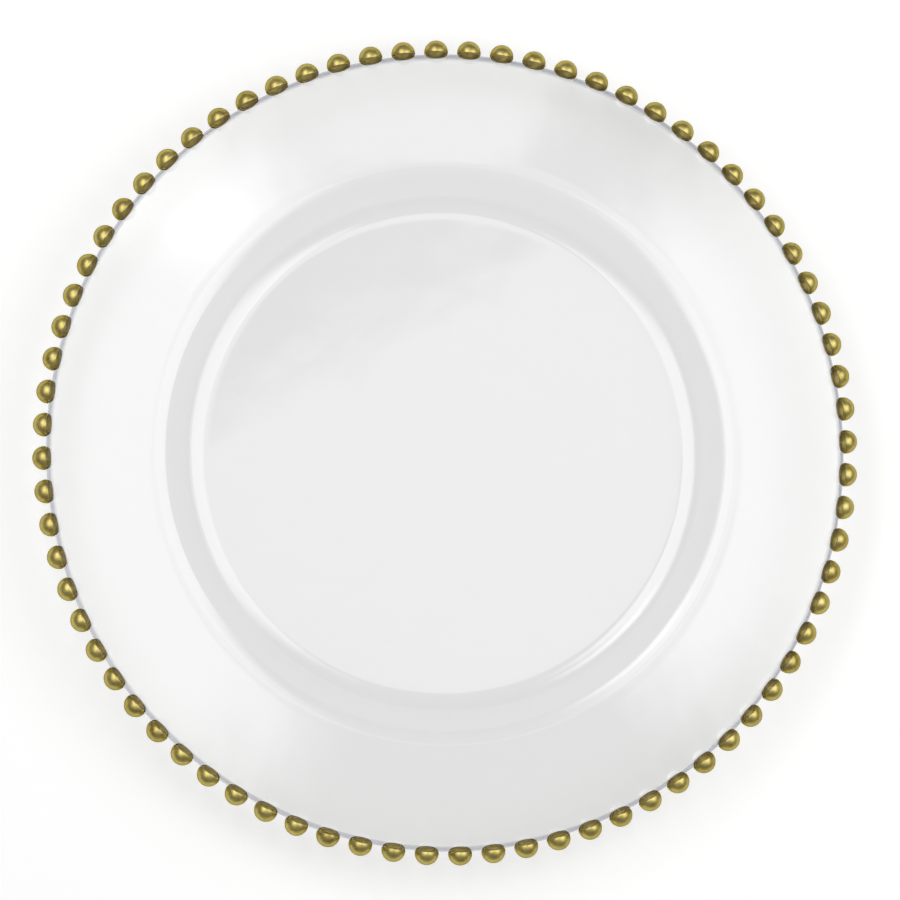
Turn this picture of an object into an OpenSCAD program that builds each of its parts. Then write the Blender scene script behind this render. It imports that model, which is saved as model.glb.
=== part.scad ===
/* [Overall] */
// Diameter of the whole charger, measured over the beads
plate_d = 330; // [300:1:400]

/* [Well] */
// Diameter of the flat floor of the well
floor_d = 190; // [160:1:200]
// Thickness of the glass in the floor
floor_t = 3.8; // [3:0.1:6]
// Radius of the bend where the floor turns up into the wall
floor_bend = 14; // [8:0.5:20]
// Steepest slope of the wall of the well, in degrees
wall_angle = 38; // [25:1:50]
// Length of the straight stretch of the wall between its two bends
wall_run = 8; // [3:0.5:10]

/* [Rim] */
// Thickness of the glass in the rim, whose edge is a full half round
rim_t = 4.4; // [3:0.1:6]
// Slope of the rim, in degrees
rim_angle = 10; // [4:0.5:14]
// Radius of the bend where the wall rolls over into the rim
shoulder_bend = 16; // [10:0.5:20]

/* [Beads] */
// Number of beads round the edge, an even number
bead_count = 76; // [40:2:80]
// Diameter of a gilded bead
bead_d = 9.5; // [7:0.1:10.5]
// How far the edge of the glass between two beads stays inside the ring of bead centres
edge_inset = 0.7; // [0.2:0.1:1.5]
// Thickness of the gold coat, drawn thicker than fired gold so that it is a solid
coat_t = 0.25; // [0.15:0.05:0.5]
// How far inside the ring of bead centres the gold starts
gold_inset = 0.6; // [0.2:0.1:2.5]

/* [Hidden] */
$fn = 96;
// Steps in each bend of the section, and in the half round edge
bend_steps = 10;
edge_steps = 8;

bead_r = bead_d / 2;
core_r = bead_r - coat_t;
bead_ring_r = plate_d / 2 - bead_r;
pitch = 360 / bead_count;
beads_per_node = 2;
cap_nodes = bead_count / beads_per_node;

floor_r = floor_d / 2;
edge_r = rim_t / 2;
nose_r = bead_ring_r - edge_inset - edge_r;

// The section's upper line, from the floor to the rim: each bend turns about its own centre
bend_end = [
    floor_r + floor_bend * sin(wall_angle),
    floor_t + floor_bend * (1 - cos(wall_angle))
];
wall_end = bend_end + wall_run * [cos(wall_angle), sin(wall_angle)];
shoulder_end = wall_end
    + shoulder_bend * [sin(wall_angle) - sin(rim_angle), cos(rim_angle) - cos(wall_angle)];

// Middle of the half round edge, on the rim's middle line
rim_middle = shoulder_end + edge_r * [sin(rim_angle), -cos(rim_angle)];
nose = [nose_r, rim_middle[1] + (nose_r - rim_middle[0]) * tan(rim_angle)];
bead_z = nose[1] + (bead_ring_r - nose_r) * tan(rim_angle);

// The point of the underside that faces an upper point, through glass of thickness t
function below(p, slope, t) = p + t * [sin(slope), -cos(slope)];

// Upper line and underside are lists of [point, slope, thickness], from the floor outwards
function floor_bend_at(share) =
    let (slope = share * wall_angle)
    [[floor_r + floor_bend * sin(slope), floor_t + floor_bend * (1 - cos(slope))], slope, floor_t];
function shoulder_at(share) =
    let (slope = wall_angle + share * (rim_angle - wall_angle))
    [
        wall_end + shoulder_bend * [sin(wall_angle) - sin(slope), cos(slope) - cos(wall_angle)],
        slope,
        floor_t + share * (rim_t - floor_t)
    ];

stations = concat(
    [for (i = [0:bend_steps]) floor_bend_at(i / bend_steps)],
    [for (i = [0:bend_steps]) shoulder_at(i / bend_steps)]
);

upper_line = [for (s = stations) s[0]];
under_line = [for (i = [len(stations) - 1:-1:0]) below(stations[i][0], stations[i][1], stations[i][2])];

// Half round edge, from the rim's upper face round to its underside
edge_line = [
    for (i = [0:edge_steps])
        let (turn = 90 + rim_angle - 180 * i / edge_steps)
        nose + edge_r * [cos(turn), sin(turn)]
];

plate_section = concat([[0, floor_t]], upper_line, edge_line, under_line, [[0, 0]]);

// The outermost part of the rim, which the gold fits round
edge_band_section = concat(
    edge_line,
    [for (side = [-1, 1]) nose + [-bead_d, 0] + side * edge_r * [-sin(rim_angle), cos(rim_angle)]
        - bead_d * [0, tan(rim_angle)]]
);

function cap_node(i) = str("gold_bead_caps_", i < 10 ? "0" : "", i);

// Places one bead of the ring, counted from zero
module at_bead(i) {
    rotate([0, 0, i * pitch])
        translate([bead_ring_r, 0, bead_z])
            children();
}

// Pressed clear glass: floor, wall and rim, with the bead cores moulded in one
module glass_plate() {
    color([0.86, 0.92, 0.9, 0.45])
        union() {
            rotate_extrude()
                polygon(plate_section);
            for (i = [0:bead_count - 1])
                at_bead(i)
                    sphere(r = core_r);
        }
}

// Section of the gold skin, turned about the bead's own axis, which points outwards
module gold_section() {
    intersection() {
        difference() {
            circle(r = bead_r);
            circle(r = core_r);
        }
        translate([0, -gold_inset])
            square([bead_r, bead_r + gold_inset]);
    }
}

// Fired gold on one bead: a skin round the core, from the gold line outwards, clear of the edge
module gold_cap(i) {
    difference() {
        at_bead(i)
            rotate([0, 90, 0])
                rotate_extrude()
                    gold_section();
        rotate_extrude()
            polygon(edge_band_section);
    }
}

// Two neighbouring gilded beads
module gold_bead_caps(n) {
    color([0.78, 0.6, 0.2])
        for (k = [0:beads_per_node - 1])
            gold_cap((n - 1) * beads_per_node + k);
}

glass_plate();
for (n = [1:cap_nodes])
    gold_bead_caps(n);
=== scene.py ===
import math

import bpy
import numpy as np
from mathutils import Matrix, Vector


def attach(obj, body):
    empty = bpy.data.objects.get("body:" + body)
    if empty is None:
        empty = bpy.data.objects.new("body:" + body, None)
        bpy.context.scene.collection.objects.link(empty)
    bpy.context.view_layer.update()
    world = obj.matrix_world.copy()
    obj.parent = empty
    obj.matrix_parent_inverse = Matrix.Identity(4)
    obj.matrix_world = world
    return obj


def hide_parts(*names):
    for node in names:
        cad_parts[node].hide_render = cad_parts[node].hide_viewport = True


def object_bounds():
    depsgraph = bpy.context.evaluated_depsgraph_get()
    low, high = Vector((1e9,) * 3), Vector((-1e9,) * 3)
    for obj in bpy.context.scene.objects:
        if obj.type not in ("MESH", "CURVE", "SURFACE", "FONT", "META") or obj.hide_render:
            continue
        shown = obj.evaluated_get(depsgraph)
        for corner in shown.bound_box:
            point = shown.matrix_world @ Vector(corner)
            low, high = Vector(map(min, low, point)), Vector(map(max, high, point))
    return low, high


mm = 0.001
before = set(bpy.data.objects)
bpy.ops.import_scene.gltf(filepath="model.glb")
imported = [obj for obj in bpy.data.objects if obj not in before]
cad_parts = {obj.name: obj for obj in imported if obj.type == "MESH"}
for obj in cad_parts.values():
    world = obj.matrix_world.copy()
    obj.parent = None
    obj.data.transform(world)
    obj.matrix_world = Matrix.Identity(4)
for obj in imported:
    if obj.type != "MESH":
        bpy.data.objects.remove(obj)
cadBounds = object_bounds()
print("frame loaded:", len(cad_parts), "nodes")

# The pressed section, as the CAD node has it, with the steps of its rows
section = {
    "floorRadius": 95 * mm,
    "floorThickness": 3.8 * mm,
    "floorBend": 14 * mm,
    "wallAngle": math.radians(38),
    "wallRun": 8 * mm,
    "rimThickness": 4.4 * mm,
    "rimAngle": math.radians(10),
    "shoulderBend": 16 * mm,
    "bendSteps": 16,
    "rimSteps": 10,
    "floorRings": 8,
}

# Beads and their gold. The gold bites a little into the glass, so the two touch wherever they are seen
# through it. The wander shares weigh the painted line's random offset, its lean and its wave
beads = {
    "count": 76,
    "perNode": 2,
    "diameter": 9.5 * mm,
    "coat": 0.25 * mm,
    "edgeInset": 0.7 * mm,
    "goldInset": 0.6 * mm,
    "goldWobble": 0.12 * mm,
    "wanderShares": (1.0, 0.5, 0.3),
    "bite": 0.12 * mm,
    "rootFillet": 0.35 * mm,
    "rootStart": 0.85 * mm,
    "rootRun": 1.4 * mm,
    "zoneWidth": 2.6 * mm,
    "zoneSteps": 5,
    "edgeSteps": 26,
    "acrossBead": 19,
    "betweenBeads": 5,
    "coarseColumns": 4,
    "goldAround": 40,
    "goldBack": 14,
    "seed": 11,
}

ringRadius = cadBounds[1][0] - beads["diameter"] / 2
beadRadius = beads["diameter"] / 2
coreRadius = beadRadius - beads["coat"]
edgeRadius = section["rimThickness"] / 2


# Upper line of the section as rows of radius, height, slope and thickness: two arcs of constant radius,
# bending up and over again, with the straight wall between them
def sectionRows(s):
    slope = np.linspace(0, s["wallAngle"], s["bendSteps"] + 1)
    bend = np.column_stack([
        s["floorRadius"] + s["floorBend"] * np.sin(slope),
        s["floorThickness"] + s["floorBend"] * (1 - np.cos(slope)),
        slope,
        np.full(len(slope), s["floorThickness"]),
    ])
    wallEnd = bend[-1, :2] + s["wallRun"] * np.array([math.cos(s["wallAngle"]), math.sin(s["wallAngle"])])
    share = np.linspace(0, 1, s["bendSteps"] + 1)
    slope = s["wallAngle"] + share * (s["rimAngle"] - s["wallAngle"])
    shoulder = np.column_stack([
        wallEnd[0] + s["shoulderBend"] * (math.sin(s["wallAngle"]) - np.sin(slope)),
        wallEnd[1] + s["shoulderBend"] * (np.cos(slope) - math.cos(s["wallAngle"])),
        slope,
        s["floorThickness"] + share * (s["rimThickness"] - s["floorThickness"]),
    ])
    return np.vstack([bend, shoulder])


upperRows = sectionRows(section)
# Directions along and across the rim in section, and the middle of its half round edge
rimAlong = np.array([math.cos(section["rimAngle"]), math.sin(section["rimAngle"])])
rimAcross = np.array([-rimAlong[1], rimAlong[0]])
rimMiddle = upperRows[-1, :2] - edgeRadius * rimAcross
noseRadius = ringRadius - beads["edgeInset"] - edgeRadius
nose = rimMiddle + rimAlong * (noseRadius - rimMiddle[0]) / rimAlong[0]
beadHeight = nose[1] + (ringRadius - noseRadius) * math.tan(section["rimAngle"])

view = {
    "tilt": 8.0,
    "towards": 225.0,
    "turn": 1.72,
    "distance": 2.0,
    "lens": 200.99,
    "sensor": 36,
    "aimRight": 0.81 * mm,
    "aimUp": -0.05 * mm,
}


# Looks down on the plate, leaning from the vertical towards the picture's lower left
def makeCamera(v):
    lean, turn = math.radians(v["tilt"]), math.radians(v["turn"])
    azimuth = math.radians(v["towards"] - v["turn"])
    back = Vector((math.sin(lean) * math.cos(azimuth), math.sin(lean) * math.sin(azimuth), math.cos(lean)))
    right = Vector((math.sin(turn), math.cos(turn), 0)).cross(back).normalized()
    up = back.cross(right)
    data = bpy.data.cameras.new("camera")
    data.sensor_width = v["sensor"]
    data.lens = v["lens"]
    camera = bpy.data.objects.new("camera", data)
    bpy.context.scene.collection.objects.link(camera)
    camera.matrix_world = Matrix((right, up, back)).transposed().to_4x4()
    aim = Vector((0, 0, beadHeight)) + right * v["aimRight"] + up * v["aimUp"]
    camera.location = aim + back * v["distance"]
    bpy.context.scene.camera = camera


makeCamera(view)
print("camera made")


# A smooth mesh from an array of points and a list of faces
def newPiece(name, points, faces):
    mesh = bpy.data.meshes.new(name)
    mesh.from_pydata(points.tolist(), [], faces)
    mesh.polygons.foreach_set("use_smooth", np.full(len(mesh.polygons), True))
    mesh.update()
    piece = bpy.data.objects.new(name, mesh)
    bpy.context.scene.collection.objects.link(piece)
    return piece


# Quads between the rows of a grid whose columns close into a ring
def ringQuads(rows, columns, start):
    i, j = np.meshgrid(np.arange(rows - 1), np.arange(columns), indexing="ij")
    k = (j + 1) % columns
    quads = np.stack([(i + 1) * columns + j, (i + 1) * columns + k, i * columns + k, i * columns + j], -1)
    return (quads.reshape(-1, 4) + start).tolist()


# Triangles from one point to a ring of points that starts at the given index
def fan(centre, start, columns, upwards):
    j = np.arange(columns)
    k = (j + 1) % columns
    pair = (start + j, start + k) if upwards else (start + k, start + j)
    return np.column_stack([np.full(columns, centre), *pair]).tolist()


# Rows of radius and height turned about the vertical axis to each angle
def spin(rows, angle):
    r, z = rows[:, :1], rows[:, 1:2] + np.zeros_like(angle)
    return np.stack([r * np.cos(angle), r * np.sin(angle), z], -1).reshape(-1, 3)


# Angles round the ring, the same in every pitch: over a bead they follow the sine of equal steps, which puts
# them close together at its sides, and between beads they are even
def ringAngles(b):
    pitch = 2 * math.pi / b["count"]
    halfBead = math.asin(coreRadius / ringRadius)
    across = halfBead * np.sin(np.linspace(-math.pi / 2, math.pi / 2, b["acrossBead"]))
    gap = np.linspace(halfBead, pitch - halfBead, b["betweenBeads"] + 1)[1:-1]
    onePitch = np.concatenate([across, gap])
    turns = np.arange(b["count"])[:, None] * pitch
    return (turns + onePitch).ravel(), len(onePitch)


# The larger of a and b, with the crease where they cross filled over the given width
def smoothMax(a, b, width):
    share = np.clip(0.5 + 0.5 * (a - b) / width, 0, 1)
    return b + (a - b) * share + width * share * (1 - share)


# Beaded edge as a star-shaped sweep: rays leave the rim's middle line upwards, fan round the nose, closest
# together where they are steep, and leave it downwards. Each ends at the rim's face or where it leaves the
# nearest bead, whichever is further out. Behind the gold a bead's surplus over the rim fades out along the
# bead's axis
def beadZone(b, angle):
    flat = np.linspace(-b["zoneWidth"], 0, b["zoneSteps"] + 1)[:-1]
    turn = math.pi / 2 * np.sin(np.linspace(math.pi / 2, -math.pi / 2, b["edgeSteps"] + 1))
    shift = np.concatenate([flat, np.zeros(len(turn)), flat[::-1]])
    lean = np.concatenate([np.full(len(flat), math.pi / 2), turn, np.full(len(flat), -math.pi / 2)])
    origin = nose + shift[:, None] * rimAlong
    ray = np.cos(lean)[:, None] * rimAlong + np.sin(lean)[:, None] * rimAcross
    pitch = 2 * math.pi / b["count"]
    off = (angle + pitch / 2) % pitch - pitch / 2
    dr = ringRadius * np.cos(off) - origin[:, :1]
    dz = beadHeight - origin[:, 1:]
    aside = ringRadius * np.sin(off)
    forward = dr * ray[:, :1] + dz * ray[:, 1:]
    missed = dr ** 2 + dz ** 2 - forward ** 2 + aside ** 2
    inBead = missed < coreRadius ** 2
    reach = np.where(inBead, forward + np.sqrt(np.clip(coreRadius ** 2 - missed, 0, None)), 0)
    outwards = (reach * ray[:, :1] - dr) * np.cos(off) - aside * np.sin(off)
    fade = np.clip((outwards + b["rootStart"] + b["rootRun"]) / b["rootRun"], 0, 1)
    surplus = np.clip(reach - edgeRadius, 0, None)
    reach = np.where(reach > edgeRadius, edgeRadius + surplus * fade ** 2 * (3 - 2 * fade), reach)
    length = smoothMax(np.full_like(reach, edgeRadius), reach, b["rootFillet"])
    r, z = origin[:, :1] + length * ray[:, :1], origin[:, 1:] + length * ray[:, 1:]
    return np.stack([r * np.cos(angle), r * np.sin(angle), z], -1)


# One closed skin: turned rows for floor, wall and rim, with a few coarse columns a pitch, sewn to the finer
# zone that carries the beads
def makeGlass(s, b):
    fine, perPitch = ringAngles(b)
    picks = (b["acrossBead"] - 1) // (b["coarseColumns"] - 1) * np.arange(b["coarseColumns"])
    chosen = (np.arange(b["count"])[:, None] * perPitch + picks).ravel()
    coarse = fine[chosen]

    upper, slope, thickness = upperRows[:, :2], upperRows[:, 2], upperRows[:, 3]
    lower = upper + thickness[:, None] * np.column_stack([np.sin(slope), -np.cos(slope)])
    zoneStart = nose - b["zoneWidth"] * rimAlong
    share = np.linspace(0, 1, s["rimSteps"] + 1)[1:-1, None]
    upperRim = upper[-1] + share * (zoneStart + edgeRadius * rimAcross - upper[-1])
    lowerRim = lower[-1] + share * (zoneStart - edgeRadius * rimAcross - lower[-1])
    # Rings of the floor crowd towards its edge, where the bend starts
    ring = s["floorRadius"] * (1 - (1 - np.linspace(0, 1, s["floorRings"] + 1)[1:-1]) ** 2)
    floor = np.column_stack([ring, np.full(len(ring), s["floorThickness"])])
    base = np.column_stack([ring[::-1], np.zeros(len(ring))])
    topRows = np.vstack([floor, upper, upperRim])
    underRows = np.vstack([lowerRim[::-1], lower[::-1], base])

    zone = beadZone(b, fine)
    centres = np.array([[0, 0, s["floorThickness"]], [0, 0, 0]])
    top, under = spin(topRows, coarse), spin(underRows, coarse)
    points = np.vstack([centres, top, zone.reshape(-1, 3), under])
    n, m = len(coarse), len(fine)
    zoneIndex = 2 + len(top)
    underIndex = zoneIndex + len(zone) * m

    # A face per coarse column, taking in every fine point between its two neighbours
    def sew(coarseStart, fineStart, upwards):
        ends = np.append(chosen[1:], m)
        made = []
        for k in range(n):
            run = (fineStart + np.arange(chosen[k], ends[k] + 1) % m).tolist()
            face = [coarseStart + k] + run + [coarseStart + (k + 1) % n]
            made.append(face if upwards else face[::-1])
        return made

    faces = fan(0, 2, n, True)
    faces += ringQuads(len(topRows), n, 2)
    faces += sew(2 + (len(topRows) - 1) * n, zoneIndex, True)
    faces += ringQuads(len(zone), m, zoneIndex)
    faces += sew(underIndex, zoneIndex + (len(zone) - 1) * m, False)
    faces += ringQuads(len(underRows), n, underIndex)
    faces += fan(1, underIndex + (len(underRows) - 1) * n, n, False)
    return newPiece("clearPlate", points, faces)


glassPiece = makeGlass(section, beads)
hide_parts("glass_plate")
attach(glassPiece, "root")
print("glass made:", len(glassPiece.data.polygons), "faces")


# Gold on one bead, in polar form about its outward axis: an outer and an inner shell, each running from the
# tip back to the painted line, or to the glass edge where the edge comes first. The line wanders a little
def goldShell(b, draw):
    around = np.linspace(0, 2 * math.pi, b["goldAround"], endpoint=False)
    offset, lean, wave = b["wanderShares"]
    wander = (offset * draw[0] + lean * draw[1] * np.cos(around + math.pi * draw[2])
              + wave * draw[3] * np.cos(2 * around))
    line = -b["goldInset"] + b["goldWobble"] * wander
    height = beadRadius * np.sin(around) + beadHeight - nose[1]
    edge = np.sqrt(np.clip(edgeRadius ** 2 - height ** 2, 0, None)) - edgeRadius - b["edgeInset"]
    line = np.where(np.abs(height) < edgeRadius, np.maximum(line, edge), line)
    widest = np.arccos(line / beadRadius)
    share = np.linspace(0, 1, b["goldBack"] + 1)[1:]
    radius = np.repeat([beadRadius, coreRadius - b["bite"]], len(share))[:, None]
    back = np.concatenate([share, share[::-1]])[:, None] * widest
    tip = np.array([[beadRadius, 0, 0], [coreRadius - b["bite"], 0, 0]])
    skin = np.stack([
        radius * np.cos(back),
        radius * np.sin(back) * np.cos(around),
        radius * np.sin(back) * np.sin(around),
    ], -1)
    return np.vstack([tip, skin.reshape(-1, 3)])


# Neighbouring gilded beads as one piece; the crown attribute is 1 at a bead's top and -1 at its underside
def makeGold(b, first, draws):
    around, rows = b["goldAround"], 2 * b["goldBack"]
    points, crown, faces = [], [], []
    for number in range(first, first + b["perNode"]):
        start = len(points) * (2 + rows * around)
        shell = goldShell(b, draws[number])
        turn = 2 * math.pi * number / b["count"]
        r = ringRadius + shell[:, 0]
        x = r * math.cos(turn) - shell[:, 1] * math.sin(turn)
        y = r * math.sin(turn) + shell[:, 1] * math.cos(turn)
        points.append(np.column_stack([x, y, beadHeight + shell[:, 2]]))
        crown.append(shell[:, 2] / beadRadius)
        faces += fan(start, start + 2, around, True)
        faces += ringQuads(rows, around, start + 2)
        faces += fan(start + 1, start + 2 + (rows - 1) * around, around, False)
    piece = newPiece(f"goldBeads{first // b['perNode'] + 1:02d}", np.vstack(points), faces)
    layer = piece.data.attributes.new("crown", "FLOAT", "POINT")
    layer.data.foreach_set("value", np.concatenate(crown).astype(np.float32))
    return piece


draws = np.random.default_rng(beads["seed"]).uniform(-1, 1, (beads["count"], 4))
goldPieces = [makeGold(beads, first, draws) for first in range(0, beads["count"], beads["perNode"])]
for number, piece in enumerate(goldPieces):
    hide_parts(f"gold_bead_caps_{number + 1:02d}")
    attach(piece, "root")
print("gold made:", len(goldPieces), "pieces")


# A socket that takes part in sums: every sign adds its Math node
class Wire:
    def __init__(self, paint, socket):
        self.paint, self.socket = paint, socket

    def __add__(self, other):
        return self.paint.maths("ADD", self, other)

    def __sub__(self, other):
        return self.paint.maths("SUBTRACT", self, other)

    def __rsub__(self, other):
        return self.paint.maths("SUBTRACT", other, self)

    def __mul__(self, other):
        return self.paint.maths("MULTIPLY", self, other)

    __radd__, __rmul__ = __add__, __mul__


# A material or the world, and the nodes in it. A node's settings are set first, then its sockets, by name
# or by number
class Paint:
    def __init__(self, owner):
        self.owner = owner
        owner.use_nodes = True
        self.nodes, self.links = owner.node_tree.nodes, owner.node_tree.links
        self.nodes.clear()

    def node(self, kind, settings=None, inputs=None, out=0):
        made = self.nodes.new(kind)
        settings = dict(settings or {})
        stops = settings.pop("stops", None)
        for key, value in settings.items():
            setattr(made, key, value)
        if stops:
            for place, colour in stops[2:]:
                made.color_ramp.elements.new(place)
            for element, (place, colour) in zip(made.color_ramp.elements, stops):
                element.position, element.color = place, colour
        for key, value in (inputs or {}).items():
            if isinstance(value, Wire):
                self.links.new(value.socket, made.inputs[key])
            else:
                made.inputs[key].default_value = value
        return Wire(self, made.outputs[out])

    def maths(self, operation, a, b):
        return self.node("ShaderNodeMath", {"operation": operation}, {0: a, 1: b})

    def lightPath(self, out):
        return self.node("ShaderNodeLightPath", out=out)

    def coordinates(self):
        return self.node("ShaderNodeTexCoord", out="Object")

    def noise(self, where, scale, detail, roughness=0.5):
        return self.node("ShaderNodeTexNoise", None, {
            "Vector": where, "Scale": scale, "Detail": detail, "Roughness": roughness,
        }, "Fac")

    def blend(self, share, a, b):
        return self.node("ShaderNodeMix", {"data_type": "RGBA"}, {"Factor": share, "A": a, "B": b}, "Result")

    def ramp(self, value, stops):
        return self.node("ShaderNodeValToRGB", {"stops": stops}, {"Fac": value}, "Color")

    def bump(self, height, strength, distance):
        return self.node("ShaderNodeBump", None, {
            "Height": height, "Strength": strength, "Distance": distance,
        })

    def finish(self, surface, kind="ShaderNodeOutputMaterial"):
        output = self.nodes.new(kind)
        self.links.new(surface.socket, output.inputs["Surface"])
        return self.owner


glassLook = {
    # The grey of the whole glass is partly its own colour and partly painted shade: it darkens the paper
    # seen through the plate in place of the plate's shadow
    "tintAndShade": (0.85, 0.852, 0.852, 1),
    # Colour at the half round edge: darker, partly the glass's own colour through more glass, partly painted
    # shade for the dark surroundings mirrored there
    "edgeTint": (0.50, 0.50, 0.54, 1),
    "edgeShadeWidth": 2.5 * mm,
    "edgeShadeRise": 0.4,
    "ior": 1.56,
    "bounces": 4,
    "roughness": 0.015,
    "haze": 0.06,
    "flowScale": 14.0,
    "rippleScale": 70.0,
    "patchScale": 30.0,
    "flowDepth": 0.35 * mm,
    "rippleDepth": 0.04 * mm,
    "faceLoss": 0.04,
    "clear": (0.99, 0.99, 0.99, 1),
}


# Clear pressed glass: long flow marks and fine ripples of the mould in the normal, and a faint haze in
# patches, which grows with the square of its noise
def clearGlass(g):
    p = Paint(bpy.data.materials.new("clearGlass"))
    where = p.coordinates()
    flow = p.noise(where, g["flowScale"], 2)
    ripple = p.noise(where, g["rippleScale"], 3)
    patches = p.noise(where, g["patchScale"], 4, 0.6)
    flowBump = p.bump(flow, 1.0, g["flowDepth"])
    normal = p.node("ShaderNodeBump", None, {
        "Height": ripple, "Strength": 1.0, "Distance": g["rippleDepth"], "Normal": flowBump,
    })
    # At the half round edge the glass is darker. Part of this is the glass's own colour through the thicker
    # glass, and part is painted shade that stands in for the dark surroundings mirrored in the edge.
    # The darkening comes in over a share of the edge's width
    flat = p.node("ShaderNodeVectorMath", {"operation": "MULTIPLY"}, {0: where, 1: (1, 1, 0)})
    radius = p.node("ShaderNodeVectorMath", {"operation": "LENGTH"}, {0: flat}, "Value")
    rimEnd = noseRadius + edgeRadius
    paintedEdgeShade = p.node("ShaderNodeMapRange", {"interpolation_type": "SMOOTHSTEP"}, {
        "Value": radius,
        "From Min": rimEnd - g["edgeShadeWidth"],
        "From Max": rimEnd - (1 - g["edgeShadeRise"]) * g["edgeShadeWidth"],
    })
    glass = p.node("ShaderNodeBsdfPrincipled", None, {
        # Base colour: the glass's grey and its darker edge, each partly painted shade
        "Base Color": p.blend(paintedEdgeShade, g["tintAndShade"], g["edgeTint"]),
        "Roughness": g["roughness"] + g["haze"] * patches * patches,
        "Normal": normal,
        "IOR": g["ior"],
        "Transmission Weight": 1.0,
    })
    # Light of the lamps and off the paper goes straight through, less where it meets the glass at a slant:
    # what is lost grows with the fifth power of one minus the cosine. A view that has bounced about inside
    # for long goes straight through too, as it would otherwise end in black
    lamps = p.maths("MAXIMUM", p.lightPath("Is Shadow Ray"), p.lightPath("Is Diffuse Ray"))
    late = p.maths("GREATER_THAN", p.lightPath("Ray Depth"), g["bounces"] + 0.5)
    straight = p.maths("MAXIMUM", lamps, late)
    slant = p.node("ShaderNodeLayerWeight", None, {"Blend": 0.5}, "Facing")
    lost = g["faceLoss"] + (1 - g["faceLoss"]) * (slant * slant * slant * slant * slant)
    clear = p.node("ShaderNodeBsdfTransparent", None, {"Color": g["clear"]})
    mirrored = p.node("ShaderNodeBsdfTransparent", None, {"Color": (0, 0, 0, 1)})
    through = p.node("ShaderNodeMixShader", None, {0: lamps * lost, 1: clear, 2: mirrored})
    return p.finish(p.node("ShaderNodeMixShader", None, {0: straight, 1: glass, 2: through}))


goldLook = {
    "bright": (0.65, 0.55, 0.19, 1),
    "worn": (0.54, 0.44, 0.14, 1),
    "dark": (0.38, 0.28, 0.08, 1),
    "edgeTint": (0.34, 0.36, 0.18, 1),
    "roughness": 0.37,
    "mottle": 0.16,
    "speckRoughness": 0.05,
    "speckScale": 1400.0,
    "mottleScale": 420.0,
    "batchScale": 60.0,
    "batchShare": 0.3,
    "toneStops": (0.3, 0.45, 0.62),
    "brushShare": 0.4,
    "brushDepth": 0.02 * mm,
}


# Fired gold lustre: satin, mottled from bead to bead, browner in patches, with brush marks in the normal
def firedGold(g):
    p = Paint(bpy.data.materials.new("firedGold"))
    where = p.coordinates()
    mottle = p.noise(where, g["mottleScale"], 4, 0.6)
    batch = p.noise(where, g["batchScale"], 1)
    speck = p.noise(where, g["speckScale"], 2)
    mixed = (1 - g["batchShare"]) * mottle + g["batchShare"] * batch
    brushed = (1 - g["brushShare"]) * mottle + g["brushShare"] * speck
    tone = p.ramp(mixed, list(zip(g["toneStops"], (g["dark"], g["worn"], g["bright"]))))
    crown = p.node("ShaderNodeAttribute", {"attribute_name": "crown"}, None, "Fac")
    colour = p.blend(0.5 - 0.5 * crown, tone, g["worn"])
    gold = p.node("ShaderNodeBsdfPrincipled", None, {
        "Base Color": colour,
        "Metallic": 1.0,
        "Roughness": g["roughness"] + g["mottle"] * (mottle - 0.5) + g["speckRoughness"] * speck,
        "Specular Tint": g["edgeTint"],
        "Normal": p.bump(brushed, 1.0, g["brushDepth"]),
    })
    return p.finish(gold)


floorLook = {
    "size": 8.0,
    "below": 0.25 * mm,
    "paper": (0.84, 0.84, 0.84, 1),
    "fibre": (0.6, 0.6, 0.6, 1),
    "fibreScale": 900.0,
    "lift": 0.255,
    "farLift": 0.75,
    "liftStart": 0.3,
    "liftEnd": 1.6,
    "grain": 0.012,
}


# White paper under the plate: it takes the shadow, and a lift for what sees it directly, mirrored or through
# glass brings its open parts up to white. The lift grows with the distance from the lamps
def studioPaper(f):
    p = Paint(bpy.data.materials.new("studioPaper"))
    where = p.coordinates()
    fibre = p.noise(where, f["fibreScale"], 3)
    shade = p.blend(f["grain"] * fibre, f["paper"], f["fibre"])
    paper = p.node("ShaderNodeBsdfDiffuse", None, {"Color": shade})
    seen = p.maths("MAXIMUM", p.lightPath("Is Glossy Ray"), p.lightPath("Is Transmission Ray"))
    seen = p.maths("MAXIMUM", p.lightPath("Is Camera Ray"), seen)
    # Light that has already met a matt surface isn't seen, and gets no lift
    seen = seen * p.maths("LESS_THAN", p.lightPath("Diffuse Depth"), 0.5)
    distance = p.node("ShaderNodeVectorMath", {"operation": "LENGTH"}, {0: where}, "Value")
    lift = p.node("ShaderNodeMapRange", {"interpolation_type": "SMOOTHSTEP"}, {
        "Value": distance,
        "From Min": f["liftStart"],
        "From Max": f["liftEnd"],
        "To Min": f["lift"],
        "To Max": f["farLift"],
    })
    glow = p.node("ShaderNodeEmission", None, {"Color": (1, 1, 1, 1), "Strength": lift * seen})
    return p.finish(p.node("ShaderNodeAddShader", None, {0: paper, 1: glow}))


# A flat square of paper, just clear of the plate's base
def makeFloor(f):
    half = f["size"] / 2
    corners = np.array([[-half, -half, 0], [half, -half, 0], [half, half, 0], [-half, half, 0]])
    corners[:, 2] = -f["below"]
    floor = newPiece("paperFloor", corners, [[0, 1, 2, 3]])
    floor.data.materials.append(studioPaper(f))


makeFloor(floorLook)
glassPiece.data.materials.append(clearGlass(glassLook))
goldPaint = firedGold(goldLook)
for piece in goldPieces:
    piece.data.materials.append(goldPaint)
print("materials made")

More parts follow.
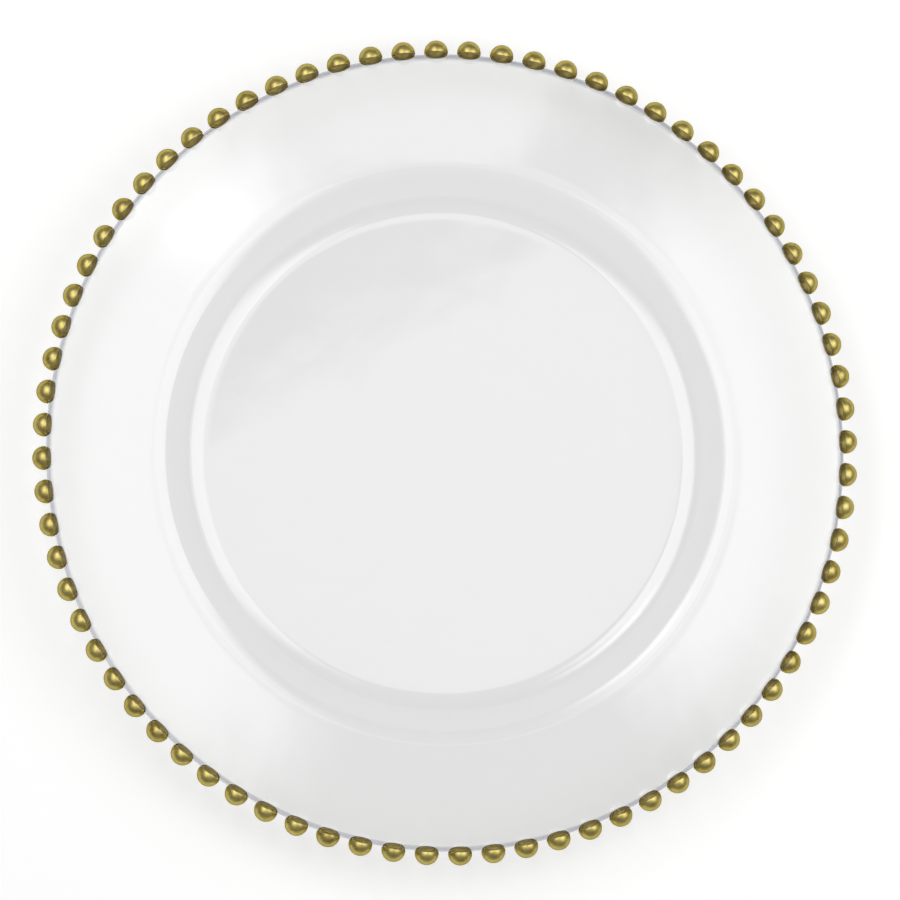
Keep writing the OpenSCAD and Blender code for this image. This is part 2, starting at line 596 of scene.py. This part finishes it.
# Soft boxes by the middles of their lower and upper edges, the heading of those edges in degrees, the box's
# width along them, its radiance, and the shares of it over which it fades at its foot, top and ends
softBoxes = {
    "right": {"lower": (0.97, 0.10, 0.62), "upper": (0.42, 0.10, 2.24), "heading": 90, "width": 1.72,
              "radiance": 2.08, "fades": (0.05, 0.18, 0.30)},
    "left": {"lower": (-1.05, 0.30, 1.17), "upper": (-0.03, 0.30, 2.44), "heading": 90, "width": 2.24,
             "radiance": 2.08, "fades": (0.05, 0.18, 0.30)},
    "over": {"lower": (-0.03, -0.135, 2.20), "upper": (0.57, 0.155, 2.20), "heading": 116, "width": 0.76,
             "radiance": 1.1, "fades": (0.12, 0.12, 0.14)},
    "key": {"lower": (-0.56, 0.98, 0.92), "upper": (-0.38, 0.70, 1.28), "heading": 30, "width": 0.80,
            "radiance": 3.4, "fades": (0.45, 0.45, 0.45)},
}


# Light of a soft box: its radiance times a smooth rise from each side over its fade. It adds to what is
# behind it
def boxLight(name, box):
    p = Paint(bpy.data.materials.new(name + "Light"))
    place = p.node("ShaderNodeTexCoord", out="UV")
    across = p.node("ShaderNodeSeparateXYZ", None, {0: place}, "X")
    rise = p.node("ShaderNodeSeparateXYZ", None, {0: place}, "Y")
    insides = (rise, 1.0 - rise, 0.5 - p.maths("ABSOLUTE", across - 0.5, 0.0))
    strength = box["radiance"]
    for inside, fade in zip(insides, box["fades"]):
        strength = strength * p.node("ShaderNodeMapRange", {"interpolation_type": "SMOOTHSTEP"}, {
            "Value": inside, "From Min": 0.0, "From Max": fade,
        })
    glow = p.node("ShaderNodeEmission", None, {"Color": (1, 1, 1, 1), "Strength": strength})
    clear = p.node("ShaderNodeBsdfTransparent", None, {"Color": (1, 1, 1, 1)})
    return p.finish(p.node("ShaderNodeAddShader", None, {0: glow, 1: clear}))


# A soft box as one quad, unseen by the camera, with its foot, top and ends in a UV map
def makeBox(name, box):
    lower, upper = np.array(box["lower"]), np.array(box["upper"])
    heading = math.radians(box["heading"])
    side = box["width"] / 2 * np.array([math.cos(heading), math.sin(heading), 0])
    corners = np.array([lower - side, lower + side, upper + side, upper - side])
    panel = newPiece(name + "Box", corners, [[0, 1, 2, 3]])
    layer = panel.data.uv_layers.new(name="place")
    layer.data.foreach_set("uv", [0, 0, 1, 0, 1, 1, 0, 1])
    panel.data.materials.append(boxLight(name, box))
    panel.visible_camera = False


for name, box in softBoxes.items():
    makeBox(name, box)

roomLook = {
    "fill": 0.20,
    "ceiling": 0.38,
    "ceilingStart": 0.62,
    "backdrop": 1.0,
    "backdropTop": 0.30,
    "fade": 0.25,
}


# A grey room with a paler ceiling. The camera sees the white backdrop everywhere, and glass shows it up to
# the backdrop's top. Heights are given as the sine of the angle above the horizon
def makeRoom(r):
    p = Paint(bpy.data.worlds.new("room"))
    direction = p.node("ShaderNodeTexCoord", out="Generated")
    height = p.node("ShaderNodeSeparateXYZ", None, {0: direction}, "Z")
    behind = p.node("ShaderNodeMapRange", {"interpolation_type": "SMOOTHSTEP"}, {
        "Value": height,
        "From Min": r["backdropTop"],
        "From Max": r["backdropTop"] + r["fade"],
        "To Min": 1.0,
        "To Max": 0.0,
    })
    grey = p.node("ShaderNodeMapRange", {"interpolation_type": "SMOOTHSTEP"}, {
        "Value": height,
        "From Min": r["ceilingStart"],
        "From Max": r["ceilingStart"] + r["fade"],
        "To Min": r["fill"],
        "To Max": r["ceiling"],
    })
    unlit = p.maths("LESS_THAN", p.lightPath("Diffuse Depth"), 0.5)
    through = p.lightPath("Is Transmission Ray") * behind * unlit
    seen = p.maths("MAXIMUM", p.lightPath("Is Camera Ray"), through)
    strength = grey + (r["backdrop"] - grey) * seen
    background = p.node("ShaderNodeBackground", None, {"Color": (1, 1, 1, 1), "Strength": strength})
    bpy.context.scene.world = p.finish(background, "ShaderNodeOutputWorld")


makeRoom(roomLook)
bpy.context.scene.view_settings.view_transform = "Standard"
print("lights made")
